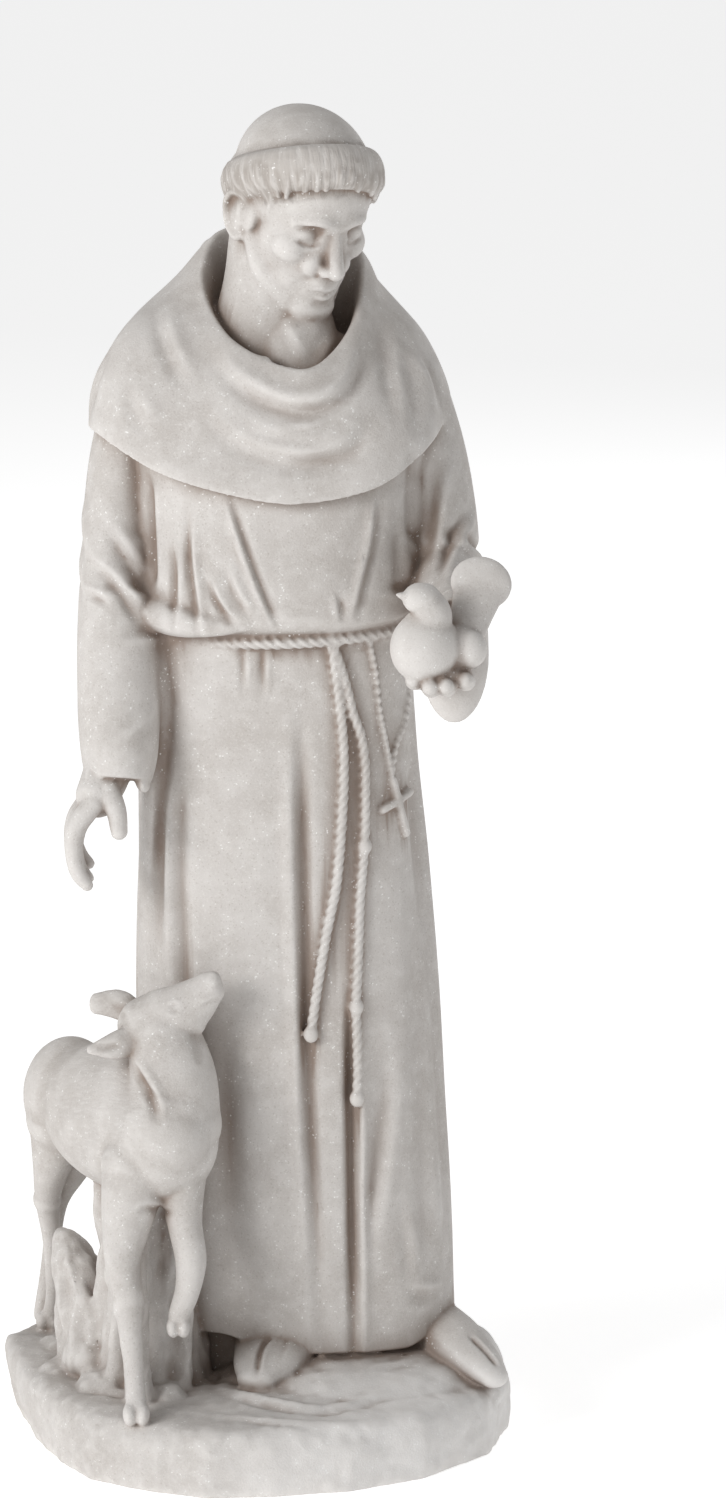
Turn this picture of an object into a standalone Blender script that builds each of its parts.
"""Garden figure cast in one piece: robed friar with a fawn at his side and a dove on his hand.

The named sizes are in metres. The figure's own tables are in shares of its standing height:
380 shares from the plinth's top to the crown, so one share is a millimetre at the real size.
Frame: +Z up, the friar looks to -Y, the underside lies at z = 0.
"""
import math

import bmesh
import bpy
import numpy as np
from mathutils import Matrix, Vector

NAME = "friar_statue"
FIGURE_HEIGHT = 0.380
PLINTH_THICKNESS = 0.020
PLINTH_WIDTH = 0.1525
PLINTH_DEPTH = 0.1200
CORD_THICKNESS = 0.0030
BEAD_THICKNESS = 0.0020

SHARE = FIGURE_HEIGHT / 380.0
TOP = PLINTH_THICKNESS / SHARE
LIFT = TOP - 20.0
MELT_GRAIN = 1.15
TRIANGLES = 9300

HEAD_AT = (12.6, 0.5, 375.6)
HEAD_BOW = 25.0
HEAD_TURN = 34.0

STONE_COLOUR = (0.72, 0.69, 0.65, 1.0)
STONE_ROUGHNESS = 0.6

# z, left x, right x, front y, back y of the robe below the belt
ROBE = [
    (28.3, -36.0, 57.6, -5.5, 52.0),
    (36.0, -36.5, 57.3, -7.0, 52.5),
    (60.0, -37.0, 56.4, -8.5, 51.0),
    (100.0, -37.4, 53.8, -10.0, 49.0),
    (140.0, -37.6, 51.4, -11.0, 46.5),
    (175.0, -37.0, 48.4, -12.0, 44.0),
    (205.0, -34.4, 45.6, -13.0, 42.0),
    (230.0, -31.0, 44.2, -14.0, 40.0),
    (245.0, -28.8, 43.0, -14.5, 38.5),
    (252.0, -28.0, 42.5, -14.5, 38.0),
]

# z, left x, right x, front y, back y of the bloused chest above the belt
BLOUSE = [
    (245.0, -27.0, 42.0, -13.0, 37.0),
    (249.5, -30.0, 44.5, -18.5, 40.0),
    (257.0, -31.5, 46.0, -20.5, 41.0),
    (272.0, -33.0, 47.5, -20.0, 41.5),
    (290.0, -34.0, 48.0, -19.5, 41.5),
    (312.0, -34.0, 46.0, -18.0, 41.0),
    (330.0, -24.0, 38.0, -12.0, 37.0),
    (340.0, -12.0, 30.0, -6.0, 32.0),
]

# loops of the cape from the hollow round the neck over the roll and down to the hem and inside;
# twelve points each: front, then round by his right side (-x) to the back and on to his left
CAPE = [
    [(12.5, -9.0, 322.0), (5.0, -6.0, 324.0), (0.5, -1.0, 328.0), (-1.0, 5.0, 332.0), (-1.0, 12.0, 336.0),
     (3.0, 20.0, 340.0), (9.0, 23.0, 341.0), (15.0, 21.0, 340.0), (19.5, 15.0, 337.0), (21.0, 8.0, 333.0),
     (20.0, 1.0, 329.0), (17.5, -5.0, 325.0)],
    [(12.8, -18.0, 325.5), (2.0, -14.5, 328.0), (-8.0, -8.0, 333.5), (-14.5, 3.0, 342.0), (-15.5, 14.0, 350.5),
     (-10.5, 26.0, 359.0), (4.0, 34.0, 360.0), (20.0, 31.0, 358.0), (27.5, 20.0, 354.0), (29.5, 8.0, 348.0),
     (27.5, -3.0, 340.0), (21.0, -13.0, 331.0)],
    [(13.4, -21.5, 324.5), (1.0, -17.5, 327.0), (-10.5, -10.5, 332.5), (-18.0, 2.0, 341.0), (-19.5, 14.0, 350.0),
     (-14.0, 28.5, 359.0), (3.5, 38.0, 360.0), (22.5, 35.0, 357.5), (31.0, 22.0, 353.0), (33.0, 8.0, 347.0),
     (31.0, -6.0, 338.5), (23.5, -16.5, 329.5)],
    [(14.0, -24.0, 318.0), (0.0, -21.0, 320.0), (-13.5, -14.0, 326.0), (-24.0, 0.0, 338.0), (-26.5, 14.0, 344.0),
     (-20.5, 33.0, 350.0), (2.5, 43.5, 350.0), (27.0, 40.0, 350.0), (36.0, 24.0, 346.0), (38.5, 8.0, 340.5),
     (36.0, -8.5, 331.0), (26.0, -20.0, 322.0)],
    [(14.0, -25.0, 306.0), (-2.0, -23.5, 308.0), (-20.0, -17.5, 316.0), (-36.0, -3.0, 332.0), (-38.0, 12.0, 336.0),
     (-29.0, 35.0, 338.0), (2.0, 47.0, 336.0), (34.0, 41.0, 338.0), (45.0, 23.0, 337.5), (47.5, 8.0, 334.0),
     (43.0, -10.0, 323.0), (31.0, -21.0, 312.0)],
    [(13.5, -25.5, 297.0), (-3.5, -24.5, 298.5), (-24.5, -20.0, 305.0), (-43.0, -7.0, 320.0), (-45.8, 10.0, 323.0),
     (-35.0, 37.0, 324.0), (2.0, 49.0, 320.0), (39.0, 43.0, 323.0), (51.0, 24.0, 326.0), (53.0, 8.0, 323.5),
     (47.0, -11.0, 313.0), (33.5, -22.0, 302.0)],
    [(12.5, -26.5, 288.8), (-6.0, -25.5, 290.5), (-28.5, -21.0, 296.5), (-46.0, -9.0, 306.0), (-49.2, 8.0, 309.0),
     (-38.5, 37.0, 306.0), (2.0, 50.0, 300.0), (42.5, 43.0, 305.0), (54.0, 24.0, 312.0), (54.6, 8.0, 312.0),
     (48.5, -12.0, 303.0), (34.0, -23.0, 293.0)],
    [(12.5, -23.0, 287.6), (-5.5, -22.0, 289.3), (-26.5, -17.5, 295.3), (-42.5, -7.5, 304.5), (-45.8, 8.0, 305.5),
     (-36.0, 34.0, 303.0), (2.0, 46.5, 298.5), (39.5, 40.0, 302.0), (50.8, 23.0, 309.0), (51.2, 8.0, 309.0),
     (45.5, -9.5, 301.5), (32.0, -19.5, 291.8)],
    [(11.0, -6.0, 296.0), (-4.0, -5.0, 297.0), (-18.0, -2.0, 300.0), (-26.0, 2.0, 306.0), (-28.0, 10.0, 308.0),
     (-22.0, 24.0, 306.0), (2.0, 32.0, 304.0), (25.0, 28.0, 306.0), (32.0, 18.0, 309.0), (33.0, 8.0, 309.0),
     (29.0, -2.0, 304.0), (21.0, -5.0, 298.0)],
]

# plan of the plinth from the front round by -x
PLINTH = [
    (2.0, -54.5), (-16.0, -55.5), (-30.0, -50.5), (-48.0, -36.0), (-58.0, -19.0), (-67.5, 3.0),
    (-73.0, 25.0), (-77.5, 44.0), (-69.0, 57.0), (-24.0, 63.5), (22.0, 64.5), (57.0, 59.5),
    (70.0, 44.0), (74.5, 14.0), (67.0, -14.0), (48.0, -37.0), (26.0, -49.0),
]
# share of the thickness, and how far in from the plan
PLINTH_ROWS = [(-0.2, 1.0), (0.1, -0.4), (0.45, 0.6), (0.73, 2.4), (0.9, 6.5), (0.98, 14.0), (1.0, 30.0)]


def spline(knots, values, at):
    """Smooth curve through the values."""
    knots = np.asarray(knots, float)
    values = np.asarray(values, float)
    at = np.clip(np.asarray(at, float), knots[0], knots[-1])
    step = np.clip(np.searchsorted(knots, at, side="right") - 1, 0, len(knots) - 2)
    slopes = np.gradient(values, knots, axis=0)
    gap = knots[step + 1] - knots[step]
    t = (at - knots[step]) / gap
    spread = t.shape + (1,) * (values.ndim - 1)
    t = t.reshape(spread)
    gap = gap.reshape(spread)
    square = t * t
    cube = square * t
    start = (2 * cube - 3 * square + 1) * values[step] + (cube - 2 * square + t) * gap * slopes[step]
    return start + (3 * square - 2 * cube) * values[step + 1] + (cube - square) * gap * slopes[step + 1]


def ring_spline(loops, around):
    """Each closed loop of points read off at the fractions in around."""
    count = loops.shape[1]
    closed = np.concatenate([loops[:, -2:], loops, loops[:, :3]], axis=1)
    knots = np.arange(-2, count + 3) / count
    return np.stack([spline(knots, loop, around) for loop in closed])


class Clay:
    """All the lumps of the model, gathered before they are fused."""

    def __init__(self):
        self.mesh = bmesh.new()

    def take(self, lump):
        bmesh.ops.recalc_face_normals(lump, faces=lump.faces)
        held = bpy.data.meshes.new("lump")
        lump.to_mesh(held)
        lump.free()
        self.mesh.from_mesh(held)
        bpy.data.meshes.remove(held)

    def skin(self, place, around, along):
        """Closed skin: a grid bent round by place(u, v), its seam welded and its ends filled."""
        lump = bmesh.new()
        bmesh.ops.create_grid(lump, x_segments=around, y_segments=along, size=1.0)
        verts = list(lump.verts)
        grid = np.array([v.co[:] for v in verts])
        placed = place((grid[:, 0] + 1) / 2, (grid[:, 1] + 1) / 2)
        for vert, point in zip(verts, placed):
            vert.co = point
        bmesh.ops.remove_doubles(lump, verts=verts, dist=0.0001)
        bmesh.ops.holes_fill(lump, edges=[e for e in lump.edges if e.is_boundary], sides=0)
        self.take(lump)

    def loft(self, loops, around, along, knots=None):
        """Skin through closed loops of points."""
        loops = np.asarray(loops, float)
        if knots is None:
            knots = np.linspace(0, 1, len(loops))
        angles = np.arange(around + 1) / around
        rings = ring_spline(loops, angles)
        rows = spline(knots, rings, np.linspace(0, 1, along + 1))

        def place(u, v):
            return rows[np.rint(v * along).astype(int), np.rint(u * around).astype(int)]

        self.skin(place, around, along)

    def tube(self, path, radii, side=(1, 0, 0), around=24, along=30, ends=True):
        """Limb along a smooth path; each radius is one number or a pair (to the side, across)."""
        path = np.asarray(path, float)
        radii = np.array([(r, r) if np.isscalar(r) else r for r in radii], float)
        run = np.concatenate([[0], np.cumsum(np.linalg.norm(np.diff(path, axis=0), axis=1))])
        run /= run[-1]
        fine = np.linspace(0, 1, along + 1)
        line = spline(run, path, fine)
        girth = spline(run, radii, fine)
        ahead = np.gradient(line, axis=0)
        ahead /= np.linalg.norm(ahead, axis=1)[:, None]
        across = np.asarray(side, float) - ahead * (ahead @ np.asarray(side, float))[:, None]
        across /= np.linalg.norm(across, axis=1)[:, None]
        over = np.cross(ahead, across)

        def place(u, v):
            row = np.rint(v * along).astype(int)
            turn = u * 2 * math.pi
            out = across[row] * (girth[row, 0] * np.cos(turn))[:, None]
            return line[row] + out + over[row] * (girth[row, 1] * np.sin(turn))[:, None]

        self.skin(place, around, along)
        if ends:
            for row in (0, -1):
                basis = Matrix((across[row], over[row], ahead[row])).transposed()
                size = (girth[row, 0], girth[row, 1], min(girth[row]))
                self.ball(line[row], size, basis)

    def ball(self, centre, size, turn=None):
        """Egg with three half sizes, turned by a matrix or by angles in degrees."""
        lump = bmesh.new()
        if turn is None:
            turn = Matrix.Identity(3)
        elif not isinstance(turn, Matrix):
            turn = turned(*turn)
        place = Matrix.Translation(Vector(centre)) @ turn.to_4x4() @ Matrix.Diagonal((*size, 1.0))
        bmesh.ops.create_uvsphere(lump, u_segments=28, v_segments=18, radius=1.0, matrix=place)
        self.take(lump)


def turned(about_x, about_y, about_z):
    spin_x = Matrix.Rotation(math.radians(about_x), 3, "X")
    spin_y = Matrix.Rotation(math.radians(about_y), 3, "Y")
    spin_z = Matrix.Rotation(math.radians(about_z), 3, "Z")
    return spin_z @ spin_y @ spin_x


def oval_skin(clay, table, around, along, folds=None, roundness=2.3):
    """Skin over rows of (z, left x, right x, front y, back y)."""
    table = np.asarray(table, float)

    def place(u, v):
        z = table[0, 0] + (table[-1, 0] - table[0, 0]) * v
        row = spline(table[:, 0], table[:, 1:], z)
        turn = 2 * math.pi * u
        power = 2.0 / roundness
        side = np.sign(np.sin(turn)) * np.abs(np.sin(turn)) ** power
        deep = -np.sign(np.cos(turn)) * np.abs(np.cos(turn)) ** power
        swell = np.zeros_like(z) if folds is None else folds(turn, z)
        x = (row[:, 0] + row[:, 1]) / 2 + side * ((row[:, 1] - row[:, 0]) / 2 + swell)
        y = (row[:, 2] + row[:, 3]) / 2 + deep * ((row[:, 3] - row[:, 2]) / 2 + swell)
        return np.stack([x, y, z], axis=1)

    clay.skin(place, around, along)


def front_of(table, x, z, roundness=2.3):
    """How far forward an oval skin lies at x and z."""
    table = np.asarray(table, float)
    left, right, front, back = spline(table[:, 0], table[:, 1:], z)
    part = min(abs(x - (left + right) / 2) / ((right - left) / 2), 0.999)
    return (front + back) / 2 - (back - front) / 2 * (1 - part ** roundness) ** (1 / roundness)


def bump(angle, centre, width):
    """Soft swelling round one direction, in radians."""
    gap = (angle - centre + math.pi) % (2 * math.pi) - math.pi
    return np.exp(-(gap / width) ** 2)


def robe_folds(turn, z):
    """Plain pipes of cloth, deepest at the hem, on the sides and back."""
    low = np.clip((250.0 - z) / 210.0, 0, 1)
    behind = np.clip(0.35 - np.cos(turn), 0, 1)
    pipes = np.cos(9 * turn + 0.4 + 0.5 * np.sin(z / 45.0)) * 1.9
    return pipes * behind * (0.25 + 0.75 * low) - 1.2 * bump(turn, -0.9, 0.25) * low


def blouse_folds(turn, z):
    low = np.clip((285.0 - z) / 35.0, 0, 1)
    behind = np.clip(0.2 - np.cos(turn), 0, 1)
    return np.cos(11 * turn + 0.8) * 1.3 * low * behind


def add_robe(clay):
    oval_skin(clay, [(14.0, -31.0, 51.0, 3.5, 47.0), (44.0, -31.0, 51.0, 3.5, 47.0)], 72, 6)
    oval_skin(clay, ROBE, 144, 60, robe_folds)
    oval_skin(clay, BLOUSE, 120, 40, blouse_folds)


def add_cape(clay):
    clay.loft(CAPE, 144, 64)
    hood = [(-13.0, 37.0, 352.0), (4.0, 44.0, 349.0), (22.0, 38.0, 351.0)]
    clay.tube(hood, [6.0, 8.0, 6.0], side=(0, 0, 1))
    clay.tube([(4.0, 43.0, 352.0), (5.0, 50.0, 326.0), (6.0, 51.0, 300.0)], [(13.0, 5.0), (15.0, 6.5), (4.0, 3.0)])


def head_frame():
    yaw = Matrix.Rotation(math.radians(HEAD_TURN), 3, "Z")
    bow = Matrix.Rotation(math.radians(HEAD_BOW), 3, "X")
    return yaw @ bow


def add_head(clay):
    frame = head_frame()

    def at(x, y, z):
        return Vector(HEAD_AT) + frame @ Vector((x, y, z))

    def lump(centre, size, turn=(0, 0, 0)):
        clay.ball(at(*centre), size, frame @ turned(*turn))

    lump((0, 1.5, 3.5), (19.6, 23.5, 20.3))
    lump((0, -7.0, -8.0), (16.0, 15.0, 19.0))
    lump((0, -9.5, -20.0), (12.8, 13.0, 12.5))
    lump((0, -17.0, -28.5), (8.4, 6.8, 7.4))
    lump((0, -12.0, -26.5), (11.6, 9.5, 8.0))
    for side in (-1, 1):
        lump((8.5 * side, -15.5, -10.5), (6.0, 5.5, 5.5))
        lump((7.6 * side, -19.4, -0.6), (7.4, 2.6, 2.0), (0, 6 * side, -14 * side))
        lump((7.2 * side, -18.0, -5.0), (4.4, 3.2, 2.8))
        lump((18.0 * side, 2.0, -11.0), (2.2, 4.4, 7.4), (14, 8 * side, 20 * side))
        lump((2.9 * side, -24.4, -16.6), (2.0, 2.4, 1.8))
    clay.tube([at(0, -21.0, -1.5), at(0, -24.2, -8.0), at(0, -27.6, -15.6)], [2.2, 2.5, 2.7])
    lump((0, -21.6, -21.0), (6.6, 3.2, 2.2))
    lump((0, -21.5, -24.0), (5.0, 2.6, 1.5))
    lump((0, -20.6, -26.2), (4.4, 2.6, 1.5))

    ring = []
    rings = 40
    for i in range(rings + 1):
        turn = 2 * math.pi * i / rings
        ring.append(at(19.3 * math.sin(turn), 2.5 - 20.0 * math.cos(turn), 2.0 + 14.5 * math.cos(turn)))
    upright = frame @ Vector((0, 0.573, 0.819))
    clay.tube(ring, [(6.2, 3.9)] * (rings + 1), side=upright, along=90, ends=False)
    for side in (-1, 1):
        clay.tube([at(19.0 * side, -5.5, 4.0), at(18.2 * side, -6.0, -5.0)], [(3.0, 2.6), (1.6, 1.6)])
    lump((0, 6.0, -4.0), (19.8, 19.5, 15.0))
    neck = [at(0, 5.0, -14.0), Vector((8.0, 8.0, 343.0)), Vector((6.0, 12.0, 322.0))]
    clay.tube(neck, [(13.0, 13.5), (13.0, 14.0), (17.0, 16.0)])
    clay.tube([at(13, 2, -16), Vector((14.0, -8.0, 326.0))], [3.5, 3.0])


def add_right_arm(clay):
    sleeve = [(-33.0, 12.0, 322.0), (-39.5, 9.0, 295.0), (-42.0, 4.0, 265.0), (-42.6, -4.0, 235.0), (-41.8, -11.5, 209.0)]
    clay.tube(sleeve, [(10.5, 13.0), (11.0, 13.0), (11.2, 13.2), (11.6, 12.6), (10.6, 12.6)], ends=False)
    clay.ball((-42.0, -10.5, 210.5), (10.6, 12.4, 5.5), (12, -4, 0))
    clay.tube([(-42.5, -8.0, 222.0), (-44.4, -14.0, 203.0), (-47.2, -16.5, 196.5)], [(7.0, 7.2), (6.4, 7.4), (6.4, 8.4)])
    for finger in range(4):
        shift = finger * 1.0
        y = -23.0 + 4.6 * finger
        low = (0.0, 1.6, 0.4, -3.0)[finger]
        points = [(-47.5 - shift * 0.3, y + 1.0, 197.0), (-51.6 - shift * 0.4, y, 190.5), (-51.9 - shift * 0.5, y, 183.5 - low / 2),
                  (-49.4 - shift * 0.3, y + 0.5, 176.0 - low)]
        clay.tube(points, [3.0, 2.7, 2.4, 1.9], around=16)
    thumb = [(-44.4, -20.5, 201.0), (-41.8, -22.5, 195.5), (-41.2, -22.5, 190.8)]
    clay.tube(thumb, [3.4, 2.9, 2.5], around=16)


def add_left_arm(clay):
    upper = [(43.0, 12.0, 318.0), (49.5, 12.0, 296.0), (53.0, 10.0, 274.0), (54.5, 3.0, 262.0)]
    clay.tube(upper, [(10.5, 14.0), (10.5, 14.0), (10.5, 14.0), (9.5, 12.5)])
    fore = [(54.0, 8.0, 264.0), (54.6, -8.0, 257.0), (55.6, -24.0, 250.0), (55.8, -36.0, 245.2)]
    clay.tube(fore, [(9.8, 13.0), (9.6, 12.5), (10.0, 15.0), (9.8, 18.6)], ends=False)
    clay.ball((55.8, -36.0, 244.8), (9.9, 4.2, 19.2), (-8, 0, 0))
    clay.tube([(52.0, -26.0, 254.0), (50.0, -44.0, 249.0)], [6.0, 6.5])
    tips = [(44.5, -57.5, 239.6), (49.0, -59.0, 237.6), (53.2, -58.6, 238.2), (58.2, -55.0, 240.0)]
    for x, y, z in tips:
        root = (x * 0.7 + 51.0 * 0.3, y + 12.0, z + 2.0)
        clay.tube([root, (x, y + 4.0, z - 0.4), (x, y, z + 0.6)], [2.9, 2.6, 2.3], around=16)


def add_dove(clay):
    clay.ball((47.6, -54.5, 251.2), (9.4, 8.8, 9.8), (0, 18, 20))
    clay.ball((56.6, -50.5, 250.2), (7.6, 7.0, 6.6), (0, 0, 25))
    clay.ball((59.0, -53.4, 250.4), (5.0, 4.2, 5.2))
    clay.tube([(47.0, -55.0, 256.0), (47.8, -56.0, 263.0), (46.8, -57.0, 267.4)], [6.2, 4.6, 4.2])
    clay.ball((46.0, -57.0, 267.4), (4.9, 4.2, 4.2))
    clay.tube([(43.4, -57.4, 267.2), (40.0, -58.0, 267.4)], [2.0, 0.9], around=16)
    clay.tube([(57.0, -49.0, 251.0), (60.6, -46.0, 258.0), (64.0, -43.0, 267.0)], [(6.0, 5.0), (5.6, 3.4), (7.0, 2.4)])
    clay.ball((64.6, -42.6, 268.4), (8.9, 2.5, 8.4), (-12, 12, 0))


def add_feet(clay):
    right = [(7.0, 20.0, 31.0), (4.6, 4.0, 29.5), (2.6, -6.0, 26.5), (1.2, -12.0, 23.6)]
    clay.tube(right, [(9.0, 10.0), (10.0, 9.0), (10.8, 6.6), (10.2, 4.2)])
    left = [(50.0, 22.0, 30.0), (57.0, 4.0, 28.5), (63.0, -4.5, 25.5), (66.0, -8.0, 23.0)]
    clay.tube(left, [(8.0, 9.0), (8.8, 8.4), (9.2, 6.0), (8.2, 3.6)], side=(0.75, -0.6, 0))
    for i in range(5):
        step = i - 2
        toe = [(3.0 + step * 3.8, -6.0, 25.0), (1.2 + step * 4.2, -14.0 + abs(step) * 0.9, 22.8)]
        clay.tube(toe, [2.9, 2.7], around=14)
        x = 65.4 + step * 2.9
        y = -8.6 + step * 2.6
        clay.tube([(x - 4.0, y + 4.6, 25.0), (x + 0.6, y - 1.2, 22.8)], [2.6, 2.4], around=14)


def add_fawn(clay):
    body = [(-57.5, 25.0, 103.0), (-51.0, 13.0, 99.0), (-42.0, -2.0, 98.0), (-33.0, -16.0, 99.5), (-28.5, -24.0, 101.0)]
    clay.tube(body, [(12.5, 15.0), (14.5, 19.0), (15.0, 19.8), (16.0, 19.5), (15.0, 16.5)], side=(0.8, 0.6, 0))
    clay.ball((-58.5, 24.0, 101.0), (14.0, 15.0, 17.8), (10, 0, 30))
    clay.ball((-29.0, -24.5, 98.0), (15.5, 13.0, 17.5), (0, 0, 30))
    neck = [(-27.5, -22.0, 104.0), (-25.0, -21.0, 117.0), (-26.5, -18.0, 130.0)]
    clay.tube(neck, [(15.5, 14.0), (12.2, 12.0), (10.2, 10.0)])
    face = [(-30.0, -17.0, 134.4), (-24.0, -19.0, 136.2), (-18.5, -20.5, 138.4), (-12.8, -21.5, 142.4)]
    clay.tube(face, [(8.8, 10.0), (7.8, 9.4), (6.0, 8.0), (4.4, 5.3)], side=(0, 1, 0))
    clay.ball((-12.0, -21.6, 144.0), (2.6, 3.8, 3.0))
    ears = [[(-35.0, -13.0, 136.0), (-41.5, -10.0, 139.4), (-49.6, -8.0, 138.6)],
            [(-34.0, -22.0, 132.5), (-41.0, -25.0, 130.6), (-51.0, -26.0, 128.6)]]
    for ear, side in zip(ears, ((0.1, 0.3, 1.0), (0.2, 0.4, 1.0))):
        clay.tube(ear, [(3.2, 2.6), (4.8, 2.0), (1.0, 0.9)], side=side, around=18)
    legs = [
        ([(-36.5, -26.0, 92.0), (-39.5, -29.0, 76.0), (-41.0, -32.0, 64.0), (-39.3, -34.0, 55.0), (-38.0, -37.0, 45.4),
          (-36.8, -40.0, 31.0), (-36.6, -41.5, 21.0)], [10.5, 8.2, 5.8, 4.9, 4.1, 3.4, 4.6]),
        ([(-24.0, -24.0, 92.0), (-22.6, -28.0, 75.0), (-21.6, -31.0, 66.5), (-22.6, -30.0, 57.0), (-24.8, -28.0, 48.0)],
         [8.5, 5.0, 4.7, 3.9, 3.9]),
        ([(-60.0, 24.0, 94.0), (-64.4, 27.0, 78.0), (-65.6, 32.0, 65.0), (-65.2, 35.0, 54.0), (-64.8, 38.5, 41.0),
          (-65.3, 42.0, 30.0), (-64.8, 42.5, 21.0)], [12.0, 6.4, 3.9, 3.2, 3.1, 3.0, 4.3]),
        ([(-52.0, 30.0, 94.0), (-60.0, 37.0, 74.0), (-64.0, 45.0, 62.0), (-66.5, 46.0, 42.0), (-68.5, 48.0, 22.0)],
         [11.0, 6.0, 3.8, 3.0, 4.0]),
    ]
    for path, radii in legs:
        clay.tube(path, radii, around=20, along=36)
    clay.tube([(-60.0, 36.0, 108.0), (-61.0, 41.0, 100.0), (-60.0, 40.0, 91.0)], [3.0, 3.6, 1.6], around=16)


def add_stump(clay):
    clay.tube([(-40.0, 14.0, 16.0), (-42.0, 13.0, 38.0), (-45.0, 8.0, 58.0), (-44.0, 2.0, 80.0)],
              [(21.0, 17.0), (12.0, 11.5), (9.0, 9.5), (9.0, 10.0)], around=28)
    clay.tube([(-57.5, 18.0, 60.0), (-52.0, 15.0, 49.0), (-46.0, 10.0, 36.0)], [3.0, 6.0, 7.0])
    clay.tube([(-58.0, 17.0, 58.0), (-59.0, 15.0, 36.0), (-62.0, 13.0, 18.0)], [3.6, 5.0, 6.0])
    clay.tube([(-50.0, 6.0, 42.0), (-53.0, -2.0, 28.0), (-57.0, -9.0, 18.0)], [4.5, 4.5, 5.0])
    clay.tube([(-42.0, 2.0, 46.0), (-44.0, -8.0, 30.0), (-46.0, -14.0, 18.0)], [4.5, 4.5, 4.5])
    clay.tube([(-33.0, 4.0, 74.0), (-31.0, -4.0, 50.0), (-32.0, -13.0, 18.0)], [5.0, 4.5, 5.5])
    clay.tube([(-27.0, 6.0, 64.0), (-24.0, -2.0, 46.0), (-22.0, -9.0, 18.0)], [6.5, 7.0, 6.0])


def add_plinth(clay):
    plan = np.asarray(PLINTH, float)
    size = np.array([PLINTH_WIDTH, PLINTH_DEPTH]) / SHARE
    middle = (plan.max(axis=0) + plan.min(axis=0)) / 2
    plan = middle + (plan - middle) * size / np.ptp(plan, axis=0)
    centre = plan.mean(axis=0)
    away = plan - centre
    reach = np.linalg.norm(away, axis=1)[:, None]
    loops = []
    for height, inset in PLINTH_ROWS:
        ring = centre + away * (1 - inset / reach)
        loops.append(np.concatenate([ring, np.full((len(ring), 1), height * TOP)], axis=1))
    clay.loft(loops, 96, 30)
    clay.ball((0.0, -20.0, TOP - 5.0), (52.0, 26.0, 6.5))
    clay.ball((-42.0, 6.0, TOP - 5.0), (28.0, 34.0, 7.0), (0, 0, 20))


def add_cord(clay, points, radius, lift=0.6, table=ROBE, along=60):
    """Cord that lies on the cloth in front, through points (x, z)."""
    points = np.asarray(points, float)
    fine = spline(np.linspace(0, 1, len(points)), points, np.linspace(0, 1, 16))
    path = [(x, front_of(table, x, z) - lift, z) for x, z in fine]
    clay.tube(path, [radius] * len(path), around=12, along=along)


CORD_A = [(20.2, 246.6), (22.2, 233.1), (23.9, 215.4), (23.9, 198.9), (22.1, 174.2), (19.2, 159.3), (16.2, 141.3), (14.2, 126.8)]
CORD_B = [(20.2, 246.6), (23.9, 235.2), (26.8, 223.4), (29.7, 213.7), (30.3, 198.9), (30.0, 184.0), (28.8, 169.1),
          (28.2, 149.4), (27.6, 135.3), (28.2, 119.3), (27.9, 106.9)]
BEADS_A = [(31.1, 246.3), (33.2, 235.7), (34.6, 223.1), (36.4, 213.3), (37.9, 204.4)]
BEADS_B = [(43.4, 227.9), (42.0, 219.0), (39.3, 212.2), (37.9, 203.3)]


def add_cords(clay):
    cord = CORD_THICKNESS / SHARE / 2
    bead = BEAD_THICKNESS / SHARE / 2
    add_cord(clay, CORD_A, cord)
    add_cord(clay, CORD_B, cord)
    add_cord(clay, BEADS_A, bead, 0.3)
    add_cord(clay, BEADS_B, bead, 0.3)
    for x, z in ((30.1, 184.0), (27.7, 135.8), (27.9, 108.0), (14.4, 128.0), (20.2, 245.8)):
        clay.ball((x, front_of(ROBE, x, z) - 0.8, z), (1.5 * cord, 1.35 * cord, 1.8 * cord))
    add_cord(clay, [(38.4, 202.3), (42.3, 186.2)], 1.5 * bead, 0.6)
    add_cord(clay, [(35.5, 194.2), (43.4, 197.8)], 1.5 * bead, 0.6)
    belt = []
    for i in range(49):
        turn = 2 * math.pi * i / 48
        x = 7.2 + 36.6 * math.sin(turn)
        y = 12.0 - 28.2 * math.cos(turn)
        z = 248.4 - 3.2 * (1 + math.cos(turn)) / 2 + 0.03 * (x - 7)
        belt.append((x, y, z))
    clay.tube(belt, [1.13 * cord] * len(belt), side=(0, 0.01, 1), around=12, along=144, ends=False)


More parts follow.
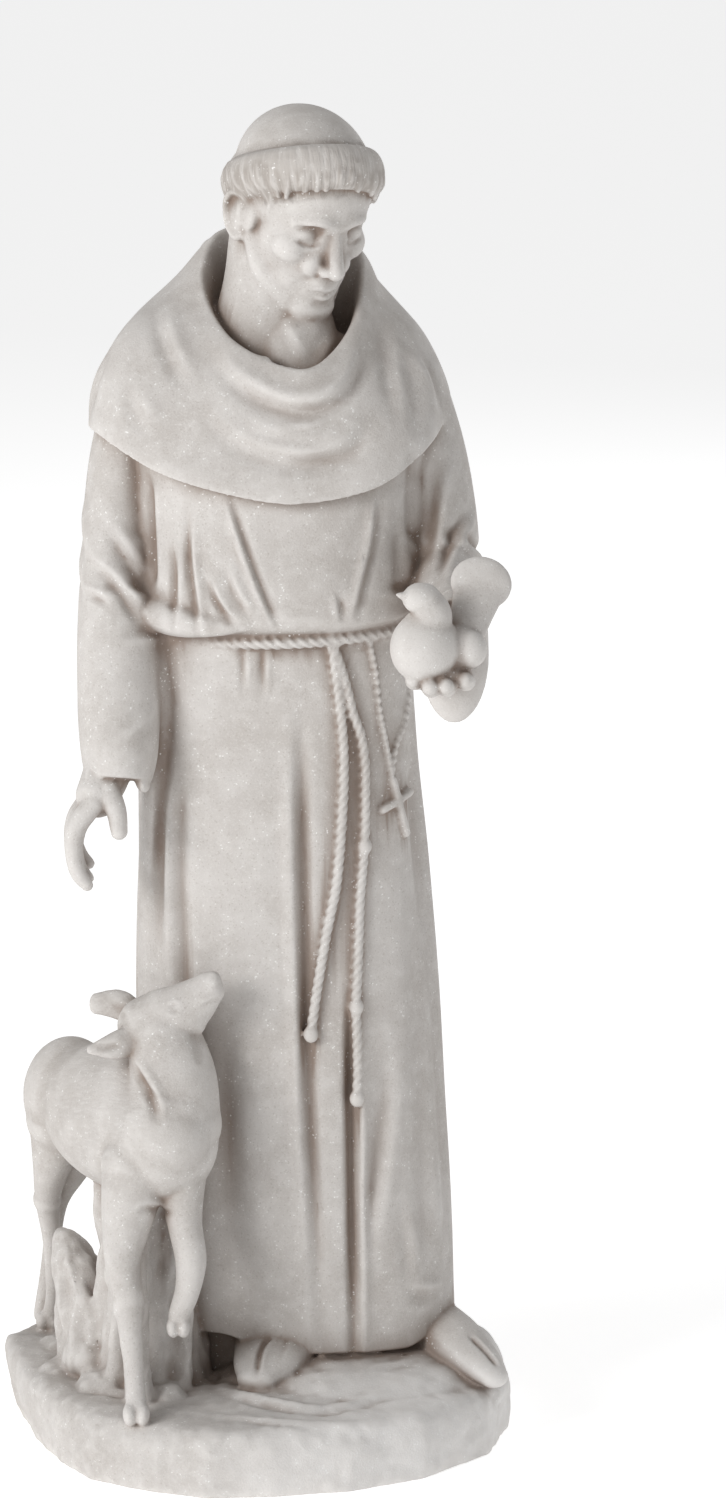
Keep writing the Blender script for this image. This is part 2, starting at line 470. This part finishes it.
# carved lines: points (x, z) seen from the front, depth, width, height of the lip beside, side of the lip
LINES = [
    ([(-29.1, 226.0), (-29.6, 200.3), (-30.3, 176.2), (-31.1, 148.9), (-31.2, 130.0)], 2.6, 2.6, 0.8, 1),
    ([(-23.8, 206.0), (-23.9, 177.2), (-23.2, 159.1), (-22.4, 130.0)], 1.6, 2.0, 0.5, -1),
    ([(-5.4, 244.0), (-5.3, 238.0), (-5.1, 231.0)], 1.0, 1.2, 0.5, 1),
    ([(0.1, 244.0), (0.2, 238.0), (0.4, 231.0)], 1.0, 1.2, 0.5, 1),
    ([(12.3, 244.0), (12.0, 222.1), (12.2, 182.9), (13.0, 150.0), (14.1, 103.7), (15.5, 80.3), (18.1, 20.0)], 2.6, 2.6, 1.4, -1),
    ([(26.5, 132.0), (26.7, 104.7), (27.3, 76.7), (27.9, 20.0)], 3.4, 2.4, 0.8, 1),
    ([(36.5, 124.9), (35.9, 110.3), (33.6, 87.1), (30.6, 71.5), (28.5, 47.8)], 1.6, 2.2, 0.8, 1),
    ([(-10.7, 124.9), (-10.8, 106.7), (-10.0, 76.1), (-8.7, 20.0)], 2.2, 5.5, 0.0, 1),
    ([(42.0, 46.0), (47.9, 41.1), (52.7, 36.8)], 1.4, 1.6, 0.5, 1),
    ([(45.3, 212.8), (46.0, 179.8), (46.6, 134.4), (47.6, 88.5), (48.6, 45.2)], 1.2, 3.0, 0.6, 1),
    ([(-25.2, 322.7), (-16.4, 313.5), (-8.2, 304.7), (2.9, 298.9), (18.0, 297.8), (30.6, 303.2), (35.4, 313.0), (38.0, 322.7)],
     1.5, 2.2, 1.6, 1),
    ([(-10.4, 320.5), (-2.5, 312.2), (11.2, 311.1), (21.4, 314.5), (30.6, 324.2)], 1.0, 1.8, 1.0, 1),
    ([(0.9, 312.0), (8.3, 308.2), (18.9, 306.2), (27.1, 306.2), (30.6, 308.2)], 0.9, 1.6, 0.7, 1),
    ([(-23.4, 347.6), (-19.5, 336.8), (-10.5, 323.9), (0.9, 316.7), (11.7, 314.5), (21.7, 318.2), (28.8, 328.2), (34.0, 339.6)],
     1.3, 2.4, 0.8, 1),
    ([(-32.6, 296.0), (-31.8, 273.2), (-31.2, 258.3), (-30.4, 240.0), (-31.3, 209.2)], 2.2, 1.8, 0.0, 1),
    ([(-25.4, 272.0), (-25.5, 262.0), (-25.5, 250.0)], 1.4, 1.4, 0.6, 1),
    ([(-19.3, 268.0), (-19.1, 258.0), (-18.8, 250.0)], 1.2, 1.4, 0.6, 1),
    ([(-9.6, 288.6), (-5.6, 278.8), (-1.6, 267.7), (3.5, 252.0)], -1.2, 2.4, 0.0, 1),
    ([(34.9, 292.4), (33.4, 275.3), (30.0, 260.5), (27.7, 250.0)], -1.4, 2.6, 0.0, 1),
    ([(-50.3, 268.6), (-42.9, 262.7), (-36.7, 254.1), (-32.9, 243.9)], 1.4, 2.2, 0.8, 1),
    ([(57.5, 281.1), (53.2, 272.3), (47.7, 262.1)], 1.6, 2.0, 0.8, 1),
    ([(43.2, 299.9), (40.9, 282.4), (39.9, 267.8), (40.6, 250.1)], 2.4, 2.2, 0.8, 1),
]


def carve(points, normals, line, depth, width, lip, side):
    """Cut one line into the front, with a soft lip on one side; returns how far each point moves."""
    fine = spline(np.linspace(0, 1, len(line)), np.asarray(line, float), np.linspace(0, 1, 28))
    flat = points[:, [0, 2]]
    reach = 5 * width
    near = np.all((flat > fine.min(axis=0) - reach) & (flat < fine.max(axis=0) + reach), axis=1)
    near &= normals[:, 1] < -0.1
    index = np.nonzero(near)[0]
    spot = flat[index]
    best = np.full(len(index), 1e9)
    across = np.zeros(len(index))
    along = np.zeros(len(index))
    for i in range(len(fine) - 1):
        step = fine[i + 1] - fine[i]
        t = np.clip((spot - fine[i]) @ step / (step @ step), 0, 1)
        gap = spot - fine[i] - t[:, None] * step
        far = np.linalg.norm(gap, axis=1)
        turn = np.sign(step[0] * gap[:, 1] - step[1] * gap[:, 0])
        take = far < best
        best[take] = far[take]
        across[take] = (far * turn)[take]
        along[take] = ((i + t) / (len(fine) - 1))[take]
    fade = np.clip(np.minimum(along, 1 - along) / 0.15, 0, 1)
    fade = fade * fade * (3 - 2 * fade)
    front = np.clip((-0.1 - normals[index, 1]) / 0.3, 0, 1)
    moved = lip * np.exp(-((across * side - 1.7 * width) / (1.1 * width)) ** 2) - depth * np.exp(-(across / width) ** 2)
    out = np.zeros(len(points))
    out[index] = moved * fade * front
    return out


def mesh_arrays(mesh):
    points = np.empty(len(mesh.vertices) * 3)
    mesh.vertices.foreach_get("co", points)
    normals = np.empty(len(mesh.vertices) * 3)
    mesh.vertex_normals.foreach_get("vector", normals)
    return points.reshape(-1, 3) / SHARE, normals.reshape(-1, 3)


def carve_all(mesh):
    points, normals = mesh_arrays(mesh)
    moved = np.zeros(len(points))
    for line, depth, width, lip, side in LINES:
        raised = [(x, z + LIFT) for x, z in line]
        moved += carve(points, normals, raised, depth, width, lip, side)
    points = points + normals * moved[:, None]
    mesh.vertices.foreach_set("co", (points * SHARE).ravel())
    mesh.update()


def fuse(clay, voxel):
    """One closed surface round all the lumps."""
    bmesh.ops.scale(clay.mesh, vec=(SHARE, SHARE, SHARE), verts=clay.mesh.verts)
    rough = bpy.data.meshes.new("rough")
    clay.mesh.to_mesh(rough)
    clay.mesh.free()
    holder = bpy.data.objects.new("rough", rough)
    bpy.context.scene.collection.objects.link(holder)
    melt = holder.modifiers.new("melt", "REMESH")
    melt.mode = "VOXEL"
    melt.voxel_size = voxel * SHARE
    melt.use_smooth_shade = True
    ease = holder.modifiers.new("ease", "SMOOTH")
    ease.factor = 0.5
    ease.iterations = 2
    fused = bpy.data.meshes.new_from_object(holder.evaluated_get(bpy.context.evaluated_depsgraph_get()))
    bpy.data.objects.remove(holder)
    bpy.data.meshes.remove(rough)
    return fused


def thin_out(mesh, triangles):
    """The same surface with fewer faces."""
    holder = bpy.data.objects.new("fine", mesh)
    bpy.context.scene.collection.objects.link(holder)
    faces = sum(len(face.vertices) - 2 for face in mesh.polygons)
    fewer = holder.modifiers.new("fewer", "DECIMATE")
    fewer.ratio = triangles / faces
    fewer.use_collapse_triangulate = True
    light = bpy.data.meshes.new_from_object(holder.evaluated_get(bpy.context.evaluated_depsgraph_get()))
    bpy.data.objects.remove(holder)
    return light


def trim(mesh):
    """Cut flat underneath, largest piece kept, set on the middle of its box."""
    work = bmesh.new()
    work.from_mesh(mesh)
    geometry = work.verts[:] + work.edges[:] + work.faces[:]
    bmesh.ops.bisect_plane(work, geom=geometry, dist=1e-7, plane_co=(0, 0, 0), plane_no=(0, 0, -1), clear_outer=True)
    rim = [e for e in work.edges if e.is_boundary]
    bmesh.ops.holes_fill(work, edges=rim, sides=0)
    bmesh.ops.triangulate(work, faces=[f for f in work.faces if len(f.verts) > 4])
    bmesh.ops.recalc_face_normals(work, faces=work.faces)
    work.to_mesh(mesh)
    work.free()


def centre(mesh):
    points, _ = mesh_arrays(mesh)
    low = points.min(axis=0)
    high = points.max(axis=0)
    shift = np.array([(low[0] + high[0]) / 2, (low[1] + high[1]) / 2, 0.0])
    mesh.vertices.foreach_set("co", ((points - shift) * SHARE).ravel())
    mesh.update()
    return shift * SHARE


def stone():
    made = bpy.data.materials.new("cast_marble")
    made.use_nodes = True
    shader = made.node_tree.nodes["Principled BSDF"]
    shader.inputs["Base Color"].default_value = STONE_COLOUR
    shader.inputs["Roughness"].default_value = STONE_ROUGHNESS
    return made


def model():
    clay = Clay()
    add_robe(clay)
    add_cape(clay)
    add_head(clay)
    add_right_arm(clay)
    add_left_arm(clay)
    add_dove(clay)
    add_feet(clay)
    add_fawn(clay)
    add_stump(clay)
    add_cords(clay)
    bmesh.ops.translate(clay.mesh, vec=(0, 0, LIFT), verts=clay.mesh.verts)
    add_plinth(clay)
    return clay


def build():
    for thing in list(bpy.data.objects):
        bpy.data.objects.remove(thing)
    fused = fuse(model(), MELT_GRAIN)
    carve_all(fused)
    light = thin_out(fused, TRIANGLES)
    trim(light)
    shift = centre(light)
    light.name = NAME
    light.materials.clear()
    light.materials.append(stone())
    light.shade_flat()
    folder = bpy.data.collections.new(NAME)
    bpy.context.scene.collection.children.link(folder)
    folder.objects.link(bpy.data.objects.new(NAME, light))
    return shift


SHIFT = build()
